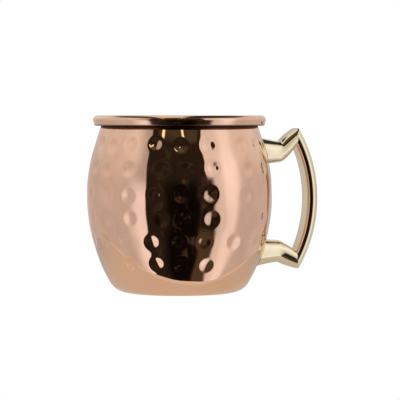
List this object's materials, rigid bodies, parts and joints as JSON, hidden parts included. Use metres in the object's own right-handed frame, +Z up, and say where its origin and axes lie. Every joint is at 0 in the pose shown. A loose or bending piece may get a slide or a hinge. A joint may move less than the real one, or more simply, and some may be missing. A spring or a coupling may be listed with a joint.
{
  "type": "copper mug",
  "caption": "Barrel-shaped hammered copper mug with a flat-sided rolled rim, a pale metal lining and a bowed cast brass handle with angular tips.",
  "frame": {"origin": "middle of the flat base, on the floor, on the cup's axis", "axes": "+Z is up along the cup's axis, and the handle points towards +X"},
  "size_m": [0.1185, 0.0928, 0.0886],
  "materials": {
    "copper": null,
    "lining": "bright pale metal",
    "wire": "plain steel wire, hidden",
    "brass": "mirror-polished pale brass",
    "braze": "polished brazing metal"
  },
  "bodies": {
    "root": {"cup_shell": "copper", "cup_lining": "lining", "rim_wire": "wire", "handle": "brass", "upper_handle_braze": "braze", "lower_handle_braze": "braze"}
  },
  "joints": []
}
